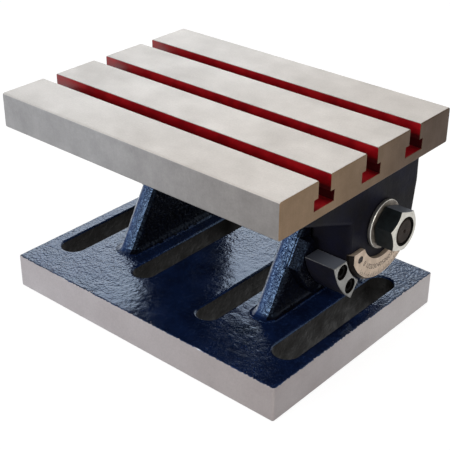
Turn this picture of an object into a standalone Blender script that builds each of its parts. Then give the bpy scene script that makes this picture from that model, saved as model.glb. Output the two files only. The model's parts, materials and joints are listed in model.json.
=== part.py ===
# Tilting angle table: a slotted plate that swings on two clamped pivots over a slotted base.
# Metres, +Z up. +X runs along the T-slots to the end with the angle scale, +Y away from the
# table's front edge. The origin is the middle of the base's underside.
# Angles are in degrees. In side views they run from +Y towards +Z about the pivot.

from math import acos, asin, atan2, cos, degrees, pi, radians, sin, tan

import bmesh
import bpy
from mathutils import Vector

# Outline that the table and the base share
PLATE_LENGTH = 0.254
PLATE_WIDTH = 0.1905

# Base plate
BASE_THICKNESS = 0.0272
BASE_EDGE = 0.001

# Long slots through the base, two inside the cheeks and two outside. The left inner one stops
# short at the front.
SLOT_LENGTH = 0.132
SHORT_SLOT_STOP = 0.0095
SLOT_LIP = 0.0012
INNER_SLOT_WIDTH = 0.018
OUTER_SLOT_WIDTH = 0.020
INNER_SLOT_OFFSET = 0.0233
OUTER_SLOT_OFFSET = 0.0205

# Pivot: the hub's margin to the plates' rear edge, its height above the base's top, and its
# drop below the table's underside
HUB_REAR_MARGIN = 0.00705
PIVOT_RISE = 0.0574
PIVOT_DROP = 0.0508

# Cheeks, cast on the base
CHEEK_THICKNESS = 0.016
CHEEK_EDGE = 0.005
CHEEK_FRONT_REACH = 0.0834
CHEEK_REAR_ANGLE = 29
CHEEK_ROOT = 0.008
HEAD_GAP = 0.0078
FOOT_FILLET = 0.006
FOOT_SEAM = 0.0003

# Table plate and its T-slots
TABLE_THICKNESS = 0.0266
TABLE_EDGE = 0.001
T_SLOT_COUNT = 3
T_SLOT_PITCH = 0.0508
T_NECK_WIDTH = 0.013
T_NECK_DEPTH = 0.012
T_HEAD_WIDTH = 0.021
T_HEAD_HEIGHT = 0.008

# Lugs, cast under the table, each with a long tapered rib towards the front edge. The right
# lug is thicker, because it carries the angle scale.
LUG_END_INSET = 0.017
LUG_THICKNESS = 0.0334
LEFT_LUG_SETBACK = 0.010
LUG_EDGE = 0.003
LUG_FRONT_ANGLE = 24.9
LUG_REAR_LEAN = 8
LUG_REAR_FLARE = 0.0032
HUB_RADIUS = 0.043
RIB_ROOT_RISE = 0.013
RIB_TIP_DEPTH = 0.004
RIB_TIP_SETBACK = 0.013

# Pivot bolts, washers and clamp nuts
BOLT_RADIUS = 0.0095
BOLT_HEAD_HEIGHT = 0.0125
BOLT_END_CHAMFER = 0.001
BOLT_END_RECESS = 0.0004
CENTRE_MARK_RADIUS = 0.0016
HEX_FLATS = 0.0286
HEX_CHAMFER_ANGLE = 30
HEX_FACE_SHARE = 0.95
NUT_HEIGHT = 0.016
NUT_TURN = 43
NUT_MOUTH = 0.0008
WASHER_RADIUS = 0.0185
WASHER_THICKNESS = 0.003
WASHER_EDGE = 0.0004

# Pad for the index block, cast on the right cheek behind its leaning front
PAD_THICKNESS = 0.0082
PAD_WIDTH = 0.0222
PAD_TOP_DROP = 0.004
PAD_FRONT_INSET = 0.0012
PAD_EDGE = 0.0025

# Index block, screwed to that pad
BLOCK_GAP = 0.0008
BLOCK_WIDTH = 0.014
BLOCK_TOP_DROP = 0.0131
BLOCK_END_ANGLE = 233.7
BLOCK_PROUD = 0.001
BLOCK_EDGE = 0.0005
BLOCK_SCREW_SPREAD = 10.7
BLOCK_SCREW_DEPTH = 0.0115

# Socket-head screws of the index block
SOCKET_SHANK_RADIUS = 0.003
SOCKET_HEAD_RADIUS = 0.005
SOCKET_HEAD_HEIGHT = 0.006
SOCKET_HEAD_CHAMFER = 0.0006
SOCKET_SINK = 0.0012
SOCKET_FLATS = 0.005
SOCKET_DEPTH = 0.003
COUNTERBORE_GAP = 0.0006

# Angle scale, let into the right hub, with level ends and its middle straight below the pivot
SCALE_BAND = 0.0166
SCALE_RIM_MARGIN = 0.0005
SCALE_THICKNESS = 0.005
SCALE_PROUD = 0.003
SCALE_BEVEL_WIDTH = 0.002
SCALE_BEVEL_DEPTH = 0.003
SCALE_END_DROP = 0.0105
SCALE_END_MARGIN = 0.0008
SCALE_SCREW_SPREAD = 58.5
SCALE_SCREW_INSET = 0.0072

# Countersunk screws of the angle scale
SMALL_HEAD_RADIUS = 0.0026
SMALL_SHANK_RADIUS = 0.0014
SMALL_SCREW_LENGTH = 0.011
SMALL_SCREW_SINK = 0.0001
DRIVER_SLOT_WIDTH = 0.0007
DRIVER_SLOT_DEPTH = 0.0005

# Radius of a plate's long edges and corners, as a multiple of the rounding at its ends
CORNER_SHARE = 1.6

# Clearances: between faces that touch, round a shank in its hole, and a cutter's overrun
CONTACT_GAP = 0.0003
BORE_GAP = 0.0005
CUT_OVERRUN = 0.004

# Facets of a full turn on large and small round shapes
LARGE_SIDES = 72
SHAFT_SIDES = 40
SMALL_SIDES = 16
EDGE_STEPS = 3
SCALE_STEPS = 28

STRAIGHT_DOWN = 270

# Places that follow from the sizes above
PIVOT_Y = PLATE_WIDTH / 2 - HUB_REAR_MARGIN - HUB_RADIUS
PIVOT_Z = BASE_THICKNESS + PIVOT_RISE
HEAD_RADIUS = PIVOT_DROP - HEAD_GAP
LUG_OUTER_FACE = PLATE_LENGTH / 2 - LUG_END_INSET
LUG_INNER_FACE = LUG_OUTER_FACE - LUG_THICKNESS
CHEEK_OUTER_FACE = LUG_INNER_FACE - CONTACT_GAP
CHEEK_INNER_FACE = CHEEK_OUTER_FACE - CHEEK_THICKNESS
HEAD_WASHER_SEAT = CHEEK_INNER_FACE - CONTACT_GAP
BOLT_HEAD_SEAT = HEAD_WASHER_SEAT - WASHER_THICKNESS - CONTACT_GAP
BORE_RADIUS = BOLT_RADIUS + BORE_GAP
BLOCK_INNER_RADIUS = HUB_RADIUS + BLOCK_GAP
BLOCK_OUTER_RADIUS = BLOCK_INNER_RADIUS + BLOCK_WIDTH
BLOCK_FACE = LUG_OUTER_FACE + BLOCK_PROUD
PAD_FACE = CHEEK_OUTER_FACE + PAD_THICKNESS
LUG_FRONT_REACH = HUB_RADIUS * cos(radians(LUG_FRONT_ANGLE))
SCALE_OUTER_RADIUS = HUB_RADIUS - SCALE_RIM_MARGIN
SCALE_INNER_RADIUS = SCALE_OUTER_RADIUS - SCALE_BAND
SCALE_REACH = LUG_FRONT_REACH - SCALE_END_MARGIN
SCALE_FACE = LUG_OUTER_FACE + SCALE_PROUD
SCALE_SEAT = SCALE_FACE - SCALE_THICKNESS - CONTACT_GAP
SCALE_SCREW_RADIUS = SCALE_INNER_RADIUS + SCALE_SCREW_INSET


def along_x(first, second, height):
    return (height, first, second)


def along_z(first, second, height):
    return (first, second, height)


def on_circle(radius, angle, centre=(0.0, 0.0)):
    turn = radians(angle)
    return (centre[0] + radius * cos(turn), centre[1] + radius * sin(turn))


def arc(radius, start, end, centre=(0.0, 0.0), sides=LARGE_SIDES, steps=None):
    # Points of an arc, both ends included, spaced about as on a full turn with that many sides
    steps = steps or max(2, round(abs(end - start) * sides / 360))
    return [on_circle(radius, start + (end - start) * step / steps, centre)
            for step in range(steps + 1)]


def circle(radius, sides, centre=(0.0, 0.0), turn=0.0):
    return [on_circle(radius, turn + 360 * step / sides, centre) for step in range(sides)]


def rectangle(low, high, corner):
    # Rectangle with round corners, counter-clockwise
    outline = []
    quarter_sides = 4 * EDGE_STEPS
    outline += arc(corner, -90, 0, (high[0] - corner, low[1] + corner), quarter_sides)
    outline += arc(corner, 0, 90, (high[0] - corner, high[1] - corner), quarter_sides)
    outline += arc(corner, 90, 180, (low[0] + corner, high[1] - corner), quarter_sides)
    outline += arc(corner, 180, 270, (low[0] + corner, low[1] + corner), quarter_sides)
    return outline


def inset(outline, distance):
    # Moves each side of a closed counter-clockwise outline inwards
    moved = []
    for index, point in enumerate(outline):
        here = Vector(point)
        arriving = (here - Vector(outline[index - 1])).normalized()
        leaving = (Vector(outline[(index + 1) % len(outline)]) - here).normalized()
        normal = Vector((-arriving.y, arriving.x))
        middle = (normal + Vector((-leaving.y, leaving.x))).normalized()
        moved.append(tuple(here + middle * (distance / middle.dot(normal))))
    return moved


def loft(name, rings, closed=False):
    # Skins a row of rings with as many points each. The row ends in caps, or closes on itself.
    shape = bmesh.new()
    rows = [[shape.verts.new(point) for point in ring] for ring in rings]
    pairs = list(zip(rows, rows[1:]))
    if closed:
        pairs.append((rows[-1], rows[0]))
    else:
        shape.faces.new(rows[0])
        shape.faces.new(rows[-1])
    for lower, upper in pairs:
        for index, corner in enumerate(lower):
            after = (index + 1) % len(lower)
            shape.faces.new((corner, lower[after], upper[after], upper[index]))
    bmesh.ops.recalc_face_normals(shape, faces=shape.faces)
    mesh = bpy.data.meshes.new(name)
    shape.to_mesh(mesh)
    shape.free()
    piece = bpy.data.objects.new(name, mesh)
    bpy.context.scene.collection.objects.link(piece)
    return piece


def extrude(name, outline, low, high, place=along_x, edge=0.0):
    # Extrudes an outline between two heights, with the edges at both ends rounded
    steps = EDGE_STEPS if edge else 0
    levels = []
    for step in range(steps + 1):
        turn = pi / 2 * step / max(steps, 1)
        levels.append((edge * (1 - cos(turn)), edge * (1 - sin(turn)) if edge else 0.0))
    rings = [(low + depth, margin) for depth, margin in levels]
    rings += [(high - depth, margin) for depth, margin in reversed(levels)]
    return loft(name, [[place(first, second, height) for first, second in inset(outline, margin)]
                       for height, margin in rings])


def turned(name, profile, centre=(0.0, 0.0), sides=SHAFT_SIDES, closed=False):
    # Turns a profile of (x, radius) pairs about a line along X
    return loft(name, [[along_x(first, second, x) for first, second in circle(radius, sides, centre)]
                       for x, radius in profile], closed)


def combine(piece, other, operation):
    # Joins, cuts or trims a piece with another one, which is used up
    modifier = piece.modifiers.new("combine", "BOOLEAN")
    modifier.operation = operation
    modifier.solver = "EXACT"
    modifier.object = other
    result = bpy.data.meshes.new_from_object(
        piece.evaluated_get(bpy.context.evaluated_depsgraph_get()))
    piece.modifiers.clear()
    used = (piece.data, other.data)
    piece.data = result
    bpy.data.objects.remove(other)
    for mesh in used:
        bpy.data.meshes.remove(mesh)


def join(piece, other):
    combine(piece, other, "UNION")


def cut(piece, other):
    combine(piece, other, "DIFFERENCE")


def trim(piece, other):
    combine(piece, other, "INTERSECT")


def finish(piece, parent, colour, roughness, metallic, crease=32):
    # Gives a piece its own material, smooth shading up to a crease angle, and its place
    material = bpy.data.materials.new(piece.name)
    material.use_nodes = True
    shader = material.node_tree.nodes["Principled BSDF"]
    shader.inputs["Base Color"].default_value = (*colour, 1.0)
    shader.inputs["Roughness"].default_value = roughness
    shader.inputs["Metallic"].default_value = metallic
    piece.data.materials.clear()
    piece.data.materials.append(material)
    piece.data.shade_smooth()
    piece.data.set_sharp_from_angle(angle=radians(crease))
    piece.parent = parent


def frame(name, location):
    # An empty on a joint's axis, which carries the pieces that move together
    empty = bpy.data.objects.new(name, None)
    bpy.context.scene.collection.objects.link(empty)
    empty.location = location
    return empty


def cheek_outline():
    # Side view of a cheek, with a leaning front tangent to a round head and an upright rear
    pivot = (PIVOT_Y, PIVOT_Z)
    foot_reach = Vector((CHEEK_FRONT_REACH, PIVOT_RISE))
    slope = degrees(atan2(PIVOT_RISE, CHEEK_FRONT_REACH) + asin(HEAD_RADIUS / foot_reach.length))
    root = BASE_THICKNESS - CHEEK_ROOT
    front_foot = PIVOT_Y - CHEEK_FRONT_REACH - CHEEK_ROOT / tan(radians(slope))
    head = arc(HEAD_RADIUS, CHEEK_REAR_ANGLE, 90 + slope, pivot)
    return slope, [(head[0][0], root)] + head + [(front_foot, root)]


def pad_outline():
    # Side view of the pad about the pivot: a band round the hub, cut off along the cheek's front
    lean = radians(90 + cheek_outline()[0])
    reach = HEAD_RADIUS - PAD_FRONT_INSET
    outer = BLOCK_INNER_RADIUS + PAD_WIDTH
    bend = degrees(lean + acos(reach / outer))
    start = 180 + degrees(asin(PAD_TOP_DROP / BLOCK_INNER_RADIUS))
    corner = ((reach + PAD_TOP_DROP * sin(lean)) / cos(lean), -PAD_TOP_DROP)
    return ([corner] + arc(outer, bend, BLOCK_END_ANGLE)
            + arc(BLOCK_INNER_RADIUS, BLOCK_END_ANGLE, start))


def foot_rings(side):
    # Rings of the hollow fillet round a cheek's foot, from inside the plate up to the cheek
    slope, outline = cheek_outline()
    rear = outline[0][0]
    front = PIVOT_Y - CHEEK_FRONT_REACH
    corner = CHEEK_EDGE / sin(radians(slope))
    steps = 2 * EDGE_STEPS
    rings = []
    for step in range(1, steps + 1):
        turn = pi / 2 * step / steps
        spread = FOOT_FILLET * (1 - sin(turn)) - FOOT_SEAM
        height = FOOT_FILLET * (1 - cos(turn))
        faces = sorted((side * (CHEEK_INNER_FACE - spread), side * (CHEEK_OUTER_FACE + spread)))
        lean = height / tan(radians(slope))
        low = (faces[0], front + lean - spread)
        high = (faces[1], rear + spread)
        plan = rectangle(low, high, corner + spread)
        if step == 1:
            rings.append([along_z(x, y, BASE_THICKNESS - CHEEK_ROOT) for x, y in plan])
        rings.append([along_z(x, y, BASE_THICKNESS + height) for x, y in plan])
    return rings


def slot_cutter(middle, width, stop=0.0):
    # Round-ended slot that widens at the plate's top, and may stop short at the front
    radius = width / 2
    straight = SLOT_LENGTH / 2 - radius
    levels = ((-CUT_OVERRUN, 0.0), (BASE_THICKNESS - SLOT_LIP, 0.0),
              (BASE_THICKNESS + CUT_OVERRUN, SLOT_LIP + CUT_OVERRUN))
    rings = []
    for height, spread in levels:
        plan = arc(radius + spread, 0, 180, (middle, straight), SHAFT_SIDES)
        plan += arc(radius + spread, 180, 360, (middle, stop - straight), SHAFT_SIDES)
        rings.append([along_z(x, y, height) for x, y in plan])
    return loft("slot_cutter", rings)


def outer_face(side):
    # Distance of a lug's outer face from the middle plane
    return LUG_OUTER_FACE if side > 0 else LUG_OUTER_FACE - LEFT_LUG_SETBACK


def washer_seat(side):
    return outer_face(side) + CONTACT_GAP


def nut_seat(side):
    return washer_seat(side) + WASHER_THICKNESS + CONTACT_GAP


def block_screw_places():
    # Centres of the index block's two screws in its side view about the pivot
    start = 180 + degrees(asin(BLOCK_TOP_DROP / BLOCK_OUTER_RADIUS))
    middle = (start + BLOCK_END_ANGLE) / 2
    radius = (BLOCK_INNER_RADIUS + BLOCK_OUTER_RADIUS) / 2
    return [on_circle(radius, middle + turn) for turn in (-BLOCK_SCREW_SPREAD, BLOCK_SCREW_SPREAD)]


def build_base_casting(parent):
    corner = (PLATE_LENGTH / 2, PLATE_WIDTH / 2)
    plan = rectangle((-corner[0], -corner[1]), corner, BASE_EDGE * CORNER_SHARE)
    casting = extrude("base_casting", plan, 0.0, BASE_THICKNESS, along_z, BASE_EDGE)
    outline = cheek_outline()[1]
    for side in (-1, 1):
        faces = sorted((side * CHEEK_INNER_FACE, side * CHEEK_OUTER_FACE))
        join(casting, extrude("cheek", outline, faces[0], faces[1], along_x, CHEEK_EDGE))
        join(casting, loft("foot", foot_rings(side)))
        cut(casting, slot_cutter(side * (CHEEK_INNER_FACE - INNER_SLOT_OFFSET), INNER_SLOT_WIDTH,
                                 SHORT_SLOT_STOP if side < 0 else 0.0))
        cut(casting, slot_cutter(side * (PLATE_LENGTH / 2 - OUTER_SLOT_OFFSET), OUTER_SLOT_WIDTH))
    pad = [(PIVOT_Y + y, PIVOT_Z + z) for y, z in pad_outline()]
    join(casting, extrude("pad", pad, CHEEK_OUTER_FACE - CHEEK_EDGE, PAD_FACE, along_x, PAD_EDGE))
    reach = PAD_FACE + CUT_OVERRUN
    cut(casting, turned("bore", ((-reach, BORE_RADIUS), (reach, BORE_RADIUS)), (PIVOT_Y, PIVOT_Z)))
    for y, z in block_screw_places():
        radius = SOCKET_SHANK_RADIUS + CONTACT_GAP
        depth = BLOCK_SCREW_DEPTH + CONTACT_GAP
        cut(casting, turned("tapped_hole", ((PAD_FACE - depth, radius), (reach, radius)),
                            (PIVOT_Y + y, PIVOT_Z + z), SMALL_SIDES))
    finish(casting, parent, (0.02, 0.06, 0.2), 0.3, 0.0)


def plate_sides():
    # Front and rear of the plate, measured from the pivot
    middle = -PIVOT_Y
    return middle - PLATE_WIDTH / 2, middle + PLATE_WIDTH / 2


def t_slot_outlines():
    # Side views of the T-slots about the pivot, each open through the plate's top
    top = PIVOT_DROP + TABLE_THICKNESS
    neck_floor = top - T_NECK_DEPTH
    floor = neck_floor - T_HEAD_HEIGHT
    neck = T_NECK_WIDTH / 2
    head = T_HEAD_WIDTH / 2
    outlines = []
    for number in range(T_SLOT_COUNT):
        middle = sum(plate_sides()) / 2 + T_SLOT_PITCH * (number - (T_SLOT_COUNT - 1) / 2)
        half = [(neck, top + CUT_OVERRUN), (neck, neck_floor), (head, neck_floor), (head, floor)]
        mirrored = [(-across, height) for across, height in reversed(half)]
        outlines.append([(middle + across, height) for across, height in reversed(mirrored)]
                        + [(middle + across, height) for across, height in reversed(half)])
    return outlines


def lug_outline():
    # Side view of a lug about the pivot: round hub, leaning rear, upright front, tapered rib
    rear_lean = radians(LUG_REAR_LEAN)
    rear = HUB_RADIUS * cos(rear_lean) + LUG_REAR_FLARE
    rear_knee = LUG_REAR_FLARE / tan(rear_lean) - HUB_RADIUS * sin(rear_lean)
    rib_tip = plate_sides()[0] + RIB_TIP_SETBACK
    root = PIVOT_DROP + (TABLE_THICKNESS - T_NECK_DEPTH - T_HEAD_HEIGHT) / 2
    hub = arc(HUB_RADIUS, 180 + LUG_FRONT_ANGLE, 360 - LUG_REAR_LEAN)
    return hub + [(rear, rear_knee), (rear, root), (rib_tip, root),
                  (rib_tip, PIVOT_DROP - RIB_TIP_DEPTH), (-LUG_FRONT_REACH, RIB_ROOT_RISE)]


def scale_outline(inner, outer, reach, drop):
    # Arc band about straight down, cut upright at its sides and level at its ends
    side_turn = degrees(acos(reach / outer))
    end_turn = degrees(asin(drop / inner))
    rim = arc(outer, 180 + side_turn, 360 - side_turn, steps=SCALE_STEPS)
    inside = arc(inner, 360 - end_turn, 180 + end_turn, steps=SCALE_STEPS)
    return rim + [(reach, -drop)] + inside + [(-reach, -drop)]


def scale_screw_place(side):
    return on_circle(SCALE_SCREW_RADIUS, STRAIGHT_DOWN + side * SCALE_SCREW_SPREAD)


def build_tilting_table(parent):
    half = PLATE_LENGTH / 2
    front, rear = plate_sides()
    plate = rectangle((front, PIVOT_DROP), (rear, PIVOT_DROP + TABLE_THICKNESS),
                      TABLE_EDGE * CORNER_SHARE)
    casting = extrude("tilting_table", plate, -half, half, along_x, TABLE_EDGE)
    for side in (-1, 1):
        faces = sorted((side * LUG_INNER_FACE, side * outer_face(side)))
        join(casting, extrude("lug", lug_outline(), faces[0], faces[1], along_x, LUG_EDGE))
    reach = LUG_OUTER_FACE + CUT_OVERRUN
    cut(casting, turned("bore", ((-reach, BORE_RADIUS), (reach, BORE_RADIUS))))
    seat = scale_outline(SCALE_INNER_RADIUS - CONTACT_GAP, HUB_RADIUS + CUT_OVERRUN,
                         SCALE_REACH + CUT_OVERRUN, SCALE_END_DROP - CONTACT_GAP)
    cut(casting, extrude("scale_seat", seat, SCALE_SEAT, reach))
    for side in (-1, 1):
        radius = SMALL_SHANK_RADIUS + CONTACT_GAP
        depth = SMALL_SCREW_LENGTH + CONTACT_GAP
        cut(casting, turned("tapped_hole", ((SCALE_FACE - depth, radius), (reach, radius)),
                            scale_screw_place(side), SMALL_SIDES))
    end = half + CUT_OVERRUN
    slots = [extrude("t_slot", outline, -end, end) for outline in t_slot_outlines()]
    for slot in slots[1:]:
        join(slots[0], slot)
    cut(casting, slots[0])
    finish(casting, parent, (0.62, 0.61, 0.58), 0.35, 0.6)


def build_index_block(parent):
    # Band of a ring beside the hub, with a level ledge on top
    starts = [180 + degrees(asin(BLOCK_TOP_DROP / radius))
              for radius in (BLOCK_OUTER_RADIUS, BLOCK_INNER_RADIUS)]
    outline = arc(BLOCK_OUTER_RADIUS, starts[0], BLOCK_END_ANGLE)
    outline += arc(BLOCK_INNER_RADIUS, BLOCK_END_ANGLE, starts[1])
    block = extrude("index_block", outline, PAD_FACE + CONTACT_GAP, BLOCK_FACE,
                    along_x, BLOCK_EDGE)
    reach = BLOCK_FACE + CUT_OVERRUN
    shank = SOCKET_SHANK_RADIUS + CONTACT_GAP
    head = SOCKET_HEAD_RADIUS + COUNTERBORE_GAP
    floor = BLOCK_FACE - SOCKET_SINK - SOCKET_HEAD_HEIGHT - CONTACT_GAP
    for place in block_screw_places():
        cut(block, turned("clearance_hole", ((0.0, shank), (reach, shank)), place, SMALL_SIDES))
        cut(block, turned("counterbore", ((floor, head), (reach, head)), place, SMALL_SIDES))
    finish(block, parent, (0.11, 0.13, 0.19), 0.4, 0.0)


def build_index_screws(parent):
    top = BLOCK_FACE - SOCKET_SINK
    under_head = top - SOCKET_HEAD_HEIGHT
    hex_radius = SOCKET_FLATS / 2 / cos(pi / 6)
    profile = ((PAD_FACE - BLOCK_SCREW_DEPTH, SOCKET_SHANK_RADIUS),
               (under_head, SOCKET_SHANK_RADIUS), (under_head, SOCKET_HEAD_RADIUS),
               (top - SOCKET_HEAD_CHAMFER, SOCKET_HEAD_RADIUS),
               (top, SOCKET_HEAD_RADIUS - SOCKET_HEAD_CHAMFER))
    for name, place in zip(("upper", "lower"), block_screw_places()):
        screw = turned("index_screw_" + name, profile, place, SMALL_SIDES)
        cut(screw, turned("socket", ((top - SOCKET_DEPTH, hex_radius), (top + CUT_OVERRUN, hex_radius)),
                          place, 6))
        finish(screw, parent, (0.03, 0.03, 0.035), 0.4, 0.8)


def build_angle_scale(parent):
    # Arc plate with a bevelled rim and two countersunk holes
    face = SCALE_FACE
    rings = []
    for depth, bevel in ((SCALE_THICKNESS, 0.0), (SCALE_BEVEL_DEPTH, 0.0), (0.0, SCALE_BEVEL_WIDTH)):
        outline = scale_outline(SCALE_INNER_RADIUS, SCALE_OUTER_RADIUS - bevel,
                                SCALE_REACH - bevel, SCALE_END_DROP)
        rings.append([along_x(y, z, face - depth) for y, z in outline])
    scale = loft("angle_scale", rings)
    flare = CONTACT_GAP + CUT_OVERRUN
    neck = face - SMALL_SCREW_SINK - (SMALL_HEAD_RADIUS - SMALL_SHANK_RADIUS)
    profile = ((SCALE_SEAT - CUT_OVERRUN, SMALL_SHANK_RADIUS + CONTACT_GAP),
               (neck, SMALL_SHANK_RADIUS + CONTACT_GAP),
               (face + CUT_OVERRUN, SMALL_SHANK_RADIUS + (face - neck) + flare))
    for side in (-1, 1):
        cut(scale, turned("countersink", profile, scale_screw_place(side), SMALL_SIDES))
    finish(scale, parent, (0.78, 0.72, 0.62), 0.4, 0.7)


def build_scale_screws(parent):
    top = SCALE_FACE - SMALL_SCREW_SINK
    neck = top - (SMALL_HEAD_RADIUS - SMALL_SHANK_RADIUS)
    profile = ((SCALE_FACE - SMALL_SCREW_LENGTH, SMALL_SHANK_RADIUS),
               (neck, SMALL_SHANK_RADIUS), (top, SMALL_HEAD_RADIUS))
    half = DRIVER_SLOT_WIDTH / 2
    reach = SMALL_HEAD_RADIUS + CUT_OVERRUN
    for name, side in (("front", -1), ("rear", 1)):
        place = scale_screw_place(side)
        screw = turned("scale_screw_" + name, profile, place, SMALL_SIDES)
        slot = [(place[0] - reach, place[1] - half), (place[0] + reach, place[1] - half),
                (place[0] + reach, place[1] + half), (place[0] - reach, place[1] + half)]
        cut(screw, extrude("driver_slot", slot, top - DRIVER_SLOT_DEPTH, top + CUT_OVERRUN))
        finish(screw, parent, (0.45, 0.42, 0.38), 0.35, 0.9)


def hexagon(name, low, high, chamfers):
    # Hexagonal head whose corners are chamfered at the chosen ends, low end first
    corner = HEX_FLATS / 2 / cos(pi / 6)
    face = HEX_FLATS / 2 * HEX_FACE_SHARE
    fall = (corner - face) * tan(radians(HEX_CHAMFER_ANGLE))
    outer = corner + CUT_OVERRUN
    run = CUT_OVERRUN * tan(radians(HEX_CHAMFER_ANGLE))
    profile = []
    if chamfers[0]:
        profile += [(low, face), (low + fall + run, outer)]
    else:
        profile += [(low - CUT_OVERRUN, outer)]
    if chamfers[1]:
        profile += [(high - fall - run, outer), (high, face)]
    else:
        profile += [(high + CUT_OVERRUN, outer)]
    piece = extrude(name, circle(corner, 6, turn=NUT_TURN), low, high)
    trim(piece, turned("chamfer", profile))
    return piece


def mirror_to(piece, side):
    # Turns a piece made for the right-hand end into its mirror image at the left-hand end
    if side < 0:
        shape = bmesh.new()
        shape.from_mesh(piece.data)
        for vertex in shape.verts:
            vertex.co.x = -vertex.co.x
        bmesh.ops.reverse_faces(shape, faces=shape.faces)
        shape.to_mesh(piece.data)
        shape.free()


def build_pivot_bolt(name, side, parent):
    end = nut_seat(side) + NUT_HEIGHT - BOLT_END_RECESS
    bolt = hexagon(name, BOLT_HEAD_SEAT - BOLT_HEAD_HEIGHT, BOLT_HEAD_SEAT, (True, False))
    shank = ((BOLT_HEAD_SEAT - BOLT_HEAD_HEIGHT / 2, BOLT_RADIUS),
             (end - BOLT_END_CHAMFER, BOLT_RADIUS), (end, BOLT_RADIUS - BOLT_END_CHAMFER))
    join(bolt, turned("shank", shank))
    mark = ((end - CENTRE_MARK_RADIUS, CENTRE_MARK_RADIUS / 2),
            (end + CENTRE_MARK_RADIUS, CENTRE_MARK_RADIUS * 3 / 2))
    cut(bolt, turned("centre_mark", mark, sides=SMALL_SIDES))
    mirror_to(bolt, side)
    finish(bolt, parent, (0.20, 0.17, 0.14), 0.45, 0.8)


def build_washer(name, seat, side, parent):
    low, high = seat
    rim = WASHER_RADIUS - WASHER_EDGE
    profile = ((low, BORE_RADIUS), (high, BORE_RADIUS), (high, rim),
               (high - WASHER_EDGE, WASHER_RADIUS), (low + WASHER_EDGE, WASHER_RADIUS), (low, rim))
    washer = turned(name, profile, closed=True)
    mirror_to(washer, side)
    finish(washer, parent, (0.72, 0.71, 0.69), 0.3, 0.9)


def build_clamp_nut(name, side, parent):
    seat = nut_seat(side)
    face = seat + NUT_HEIGHT
    nut = hexagon(name, seat, face, (True, True))
    bore = BOLT_RADIUS + CONTACT_GAP
    mouth = bore + NUT_MOUTH + CUT_OVERRUN
    profile = ((seat - CUT_OVERRUN, mouth), (seat + NUT_MOUTH, bore),
               (face - NUT_MOUTH, bore), (face + CUT_OVERRUN, mouth))
    cut(nut, turned("thread_bore", profile))
    mirror_to(nut, side)
    finish(nut, parent, (0.55, 0.56, 0.57), 0.3, 0.9)


def build_pivots(base, pivot):
    for name, side in (("right", 1), ("left", -1)):
        build_pivot_bolt("pivot_bolt_" + name, side, base)
        build_washer("head_washer_" + name,
                     (HEAD_WASHER_SEAT - WASHER_THICKNESS, HEAD_WASHER_SEAT), side, base)
        build_washer("clamp_washer_" + name,
                     (washer_seat(side), washer_seat(side) + WASHER_THICKNESS), side, base)
        build_clamp_nut("clamp_nut_" + name, side, frame(name + "_nut_axis", pivot))


def main():
    for piece in list(bpy.data.objects):
        bpy.data.objects.remove(piece)
    pivot = (0.0, PIVOT_Y, PIVOT_Z)
    ground = frame("base_origin", (0.0, 0.0, 0.0))
    fixed_pivot = frame("base_pivot", pivot)
    table_pivot = frame("table_pivot", pivot)
    build_base_casting(ground)
    build_index_block(fixed_pivot)
    build_index_screws(fixed_pivot)
    build_pivots(fixed_pivot, pivot)
    build_tilting_table(table_pivot)
    build_angle_scale(table_pivot)
    build_scale_screws(table_pivot)


main()
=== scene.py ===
import json
import re
from math import asin, acos, cos, degrees, pi, radians, sin, tan

import bmesh
import bpy
from mathutils import Matrix, Vector, noise


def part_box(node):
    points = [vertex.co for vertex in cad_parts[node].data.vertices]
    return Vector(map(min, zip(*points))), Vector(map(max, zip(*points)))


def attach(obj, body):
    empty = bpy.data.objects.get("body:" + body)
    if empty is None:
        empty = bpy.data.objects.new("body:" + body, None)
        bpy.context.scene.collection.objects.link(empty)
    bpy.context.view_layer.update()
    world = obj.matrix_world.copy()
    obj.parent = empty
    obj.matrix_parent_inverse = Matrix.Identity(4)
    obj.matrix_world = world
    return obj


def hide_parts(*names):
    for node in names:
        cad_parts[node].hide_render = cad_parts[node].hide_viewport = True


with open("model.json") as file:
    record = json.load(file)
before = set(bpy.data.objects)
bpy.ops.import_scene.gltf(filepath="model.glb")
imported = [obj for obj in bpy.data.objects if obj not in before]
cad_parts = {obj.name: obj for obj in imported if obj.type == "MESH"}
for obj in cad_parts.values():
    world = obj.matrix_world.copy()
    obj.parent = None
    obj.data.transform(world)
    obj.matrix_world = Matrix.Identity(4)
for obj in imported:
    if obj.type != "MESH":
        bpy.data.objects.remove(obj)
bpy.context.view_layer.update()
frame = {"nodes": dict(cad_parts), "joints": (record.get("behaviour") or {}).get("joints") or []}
print("frame loaded:", len(frame["nodes"]), "nodes")

mm = 0.001  # all sizes are in metres
pivot = Vector(frame["joints"][0]["pos_m"])  # where the tilt axis crosses the middle plane
tiltAxis = (pivot.y, pivot.z)  # the same in a side view
baseLow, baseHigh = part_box("base_casting")
tableLow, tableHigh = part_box("tilting_table")
blockLow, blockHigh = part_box("index_block")
scaleLow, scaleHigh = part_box("angle_scale")


# Camera, lights and floor

cameraSetup = {
    "place": (0.4609, -0.5280, 0.4516),
    "azimuth": 40.991,
    "elevation": 29.143,
    "roll": 0.255,
    "lens": 85.39,
    "sensor": 36.0,
}

studio = {
    "ambient": 0.20,  # world light that falls on the object
    "skyTop": 0.30,  # what gloss sees overhead, where the backdrop ends
    "skyFade": (0.38, 0.76),  # sines of the height between which the backdrop fades
    "frontFade": (0.1, -0.6),
    "skyFront": 0.35,  # what gloss sees towards the front, behind the camera
    "floorTone": 0.30,
    "floorGlow": 0.84,  # only what the camera and gloss see
    "floorSize": 6.0,
}

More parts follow.
